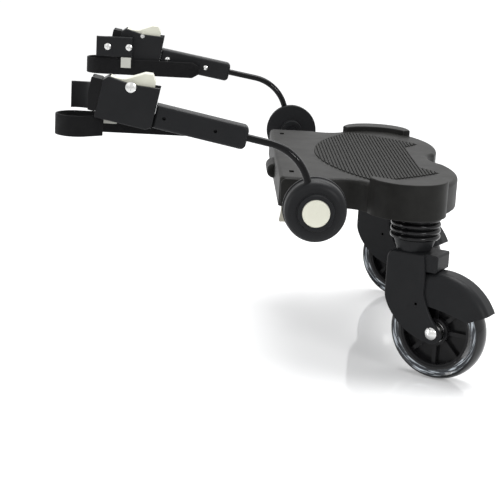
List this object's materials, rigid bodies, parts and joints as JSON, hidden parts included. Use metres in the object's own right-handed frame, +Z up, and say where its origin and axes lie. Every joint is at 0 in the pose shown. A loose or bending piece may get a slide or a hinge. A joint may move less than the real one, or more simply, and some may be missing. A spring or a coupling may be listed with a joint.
{
  "type": "buggy board",
  "caption": "Ride-on standing board for a stroller: ribbed deck on sprung swivel casters, with pivoting bent rods and strap clamps that hold the stroller's legs",
  "frame": {"origin": "middle of the bounding box, on the floor", "axes": "+X forward, towards the stroller; +Y to the board's left; +Z up"},
  "size_m": [0.4458, 0.527, 0.3017],
  "materials": {
    "deck_plastic": "fine grained moulding",
    "tread_rubber": "ribbed",
    "steel_black": "gloss black",
    "acetal": "plain",
    "black_plastic": "satin",
    "cream_plastic": "satin",
    "soft_rubber": "matt",
    "bright_steel": "zinc plated",
    "spring_steel": "drawn wire",
    "tyre_urethane": "smooth urethane",
    "hub_plastic": "satin"
  },
  "bodies": {
    "deck": {"deck": "deck_plastic", "tread_pad": "tread_rubber", "cross_tube": "steel_black", "end_cap_left": "deck_plastic", "end_cap_right": "deck_plastic", "stem_bushes": "acetal", "bellows_left": "soft_rubber", "bellows_right": "soft_rubber", "spring_left": "spring_steel", "spring_right": "spring_steel"},
    "arm_slide_left": {"arm_tube_left": "steel_black", "disc_flange_left": "black_plastic", "button_spring_left": "spring_steel"},
    "arm_left": {"disc_cap_left": "black_plastic", "rod_left": "steel_black", "sleeve_outer_left": "black_plastic", "sleeve_inner_left": "black_plastic", "clamp_housing_left": "black_plastic", "saddle_left": "soft_rubber", "strap_left": "soft_rubber", "strap_clip_left": "cream_plastic", "clamp_screws_left": "bright_steel", "clamp_jaw_left": "black_plastic"},
    "button_left": {"button_left": "cream_plastic"},
    "lever_left": {"lever_left": "cream_plastic"},
    "width_lock_left": {"width_lock_left": "cream_plastic"},
    "stem_left": {"stem_left": "bright_steel", "spring_cup_left": "black_plastic", "stem_clip_left": "bright_steel"},
    "fork_left": {"fork_left": "black_plastic", "mudguard_left": "black_plastic", "axle_left": "bright_steel"},
    "wheel_left": {"tyre_left": "tyre_urethane", "hub_left": "hub_plastic", "bearings_left": "bright_steel"},
    "arm_slide_right": {"arm_tube_right": "steel_black", "disc_flange_right": "black_plastic", "button_spring_right": "spring_steel"},
    "arm_right": {"disc_cap_right": "black_plastic", "rod_right": "steel_black", "sleeve_outer_right": "black_plastic", "sleeve_inner_right": "black_plastic", "clamp_housing_right": "black_plastic", "saddle_right": "soft_rubber", "strap_right": "soft_rubber", "strap_clip_right": "cream_plastic", "clamp_screws_right": "bright_steel", "clamp_jaw_right": "black_plastic"},
    "button_right": {"button_right": "cream_plastic"},
    "lever_right": {"lever_right": "cream_plastic"},
    "width_lock_right": {"width_lock_right": "cream_plastic"},
    "stem_right": {"stem_right": "bright_steel", "spring_cup_right": "black_plastic", "stem_clip_right": "bright_steel"},
    "fork_right": {"fork_right": "black_plastic", "mudguard_right": "black_plastic", "axle_right": "bright_steel"},
    "wheel_right": {"tyre_right": "tyre_urethane", "hub_right": "hub_plastic", "bearings_right": "bright_steel"}
  },
  "joints": [
    {"name": "width_left", "type": "slide", "parent": "deck", "child": "arm_slide_left", "axis": [0, 1, 0], "range_m": [-0.06, 0.02]},
    {"name": "arm_left", "type": "hinge", "parent": "arm_slide_left", "child": "arm_left", "pos_m": [-0.03436, 0.23, 0.181], "axis": [0, -1, 0], "range_deg": [-40, 95]},
    {"name": "button_left", "type": "slide", "parent": "arm_left", "child": "button_left", "axis": [0, -1, 0], "range_m": [0, 0.003], "stiffness_N_per_m": 500, "springref_m": -0.004, "deforming": ["button_spring_left"]},
    {"name": "lever_left", "type": "hinge", "parent": "arm_left", "child": "lever_left", "pos_m": [0.14028, 0.245, 0.28956], "axis": [0, 1, 0], "range_deg": [0, 50]},
    {"name": "width_lock_left", "type": "hinge", "parent": "deck", "child": "width_lock_left", "pos_m": [-0.03436, 0.13, 0.164], "axis": [0, 0, 1], "range_deg": [0, 180]},
    {"name": "suspension_left", "type": "slide", "parent": "deck", "child": "stem_left", "axis": [0, 0, 1], "range_m": [0, 0.01], "stiffness_N_per_m": 9000, "springref_m": -0.003, "deforming": ["bellows_left", "spring_left"]},
    {"name": "swivel_left", "type": "hinge", "parent": "stem_left", "child": "fork_left", "pos_m": [-0.14286, 0.152, 0.164], "axis": [0, 0, 1], "continuous": true},
    {"name": "wheel_left", "type": "hinge", "parent": "fork_left", "child": "wheel_left", "pos_m": [-0.17169, 0.17002, 0.05], "axis": [0.5299, 0.848, 0], "continuous": true},
    {"name": "width_right", "type": "slide", "parent": "deck", "child": "arm_slide_right", "axis": [0, -1, 0], "range_m": [-0.06, 0.02]},
    {"name": "arm_right", "type": "hinge", "parent": "arm_slide_right", "child": "arm_right", "pos_m": [-0.03436, -0.23, 0.181], "axis": [0, -1, 0], "range_deg": [-40, 95]},
    {"name": "button_right", "type": "slide", "parent": "arm_right", "child": "button_right", "axis": [0, 1, 0], "range_m": [0, 0.003], "stiffness_N_per_m": 500, "springref_m": -0.004, "deforming": ["button_spring_right"]},
    {"name": "lever_right", "type": "hinge", "parent": "arm_right", "child": "lever_right", "pos_m": [0.1549, -0.245, 0.28693], "axis": [0, 1, 0], "range_deg": [0, 50]},
    {"name": "width_lock_right", "type": "hinge", "parent": "deck", "child": "width_lock_right", "pos_m": [-0.03436, -0.13, 0.164], "axis": [0, 0, 1], "range_deg": [0, 180]},
    {"name": "suspension_right", "type": "slide", "parent": "deck", "child": "stem_right", "axis": [0, 0, 1], "range_m": [0, 0.01], "stiffness_N_per_m": 9000, "springref_m": -0.003, "deforming": ["bellows_right", "spring_right"]},
    {"name": "swivel_right", "type": "hinge", "parent": "stem_right", "child": "fork_right", "pos_m": [-0.14286, -0.152, 0.164], "axis": [0, 0, 1], "continuous": true},
    {"name": "wheel_right", "type": "hinge", "parent": "fork_right", "child": "wheel_right", "pos_m": [-0.17169, -0.13398, 0.05], "axis": [0.5299, 0.848, 0], "continuous": true}
  ]
}
